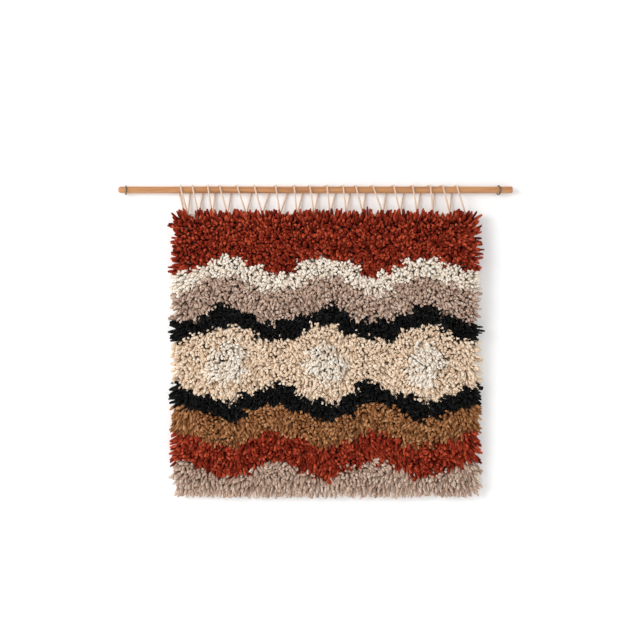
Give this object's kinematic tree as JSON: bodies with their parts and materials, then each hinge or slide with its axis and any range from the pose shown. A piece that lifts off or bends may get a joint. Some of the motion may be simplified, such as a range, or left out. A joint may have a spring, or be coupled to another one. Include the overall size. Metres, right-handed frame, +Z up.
{
  "type": "latch hook wall hanging on a wooden rod",
  "caption": "Shag-pile wall hanging of knotted wool on canvas, laced by its top edge with one cord to a round wooden rod that rests on a wall fixing.",
  "frame": {"origin": "the point on the rod's underside that rests on the wall fixing", "axes": "+X along the rod to the right as seen from the front, -Y out of the wall towards the viewer, +Z up"},
  "size_m": [0.9144, 0.0561, 0.7276],
  "materials": {
    "rod_wood": "honey-tan dowel with a thin satin varnish and fine straight grain",
    "ring_steel": "darkened bright wire",
    "lacing_cord": "cream twisted cord",
    "canvas_cotton": "stiff open-mesh cotton rug canvas, with the yarn's loops showing on its back",
    "wool_pile": "matte cut rug wool in rust, black, brown, beige, taupe and cream"
  },
  "bodies": {
    "root": {"rod": "rod_wood", "ring_left": "ring_steel", "ring_right": "ring_steel", "lacing": "lacing_cord", "canvas": "canvas_cotton", "pile": "wool_pile"}
  },
  "joints": []
}
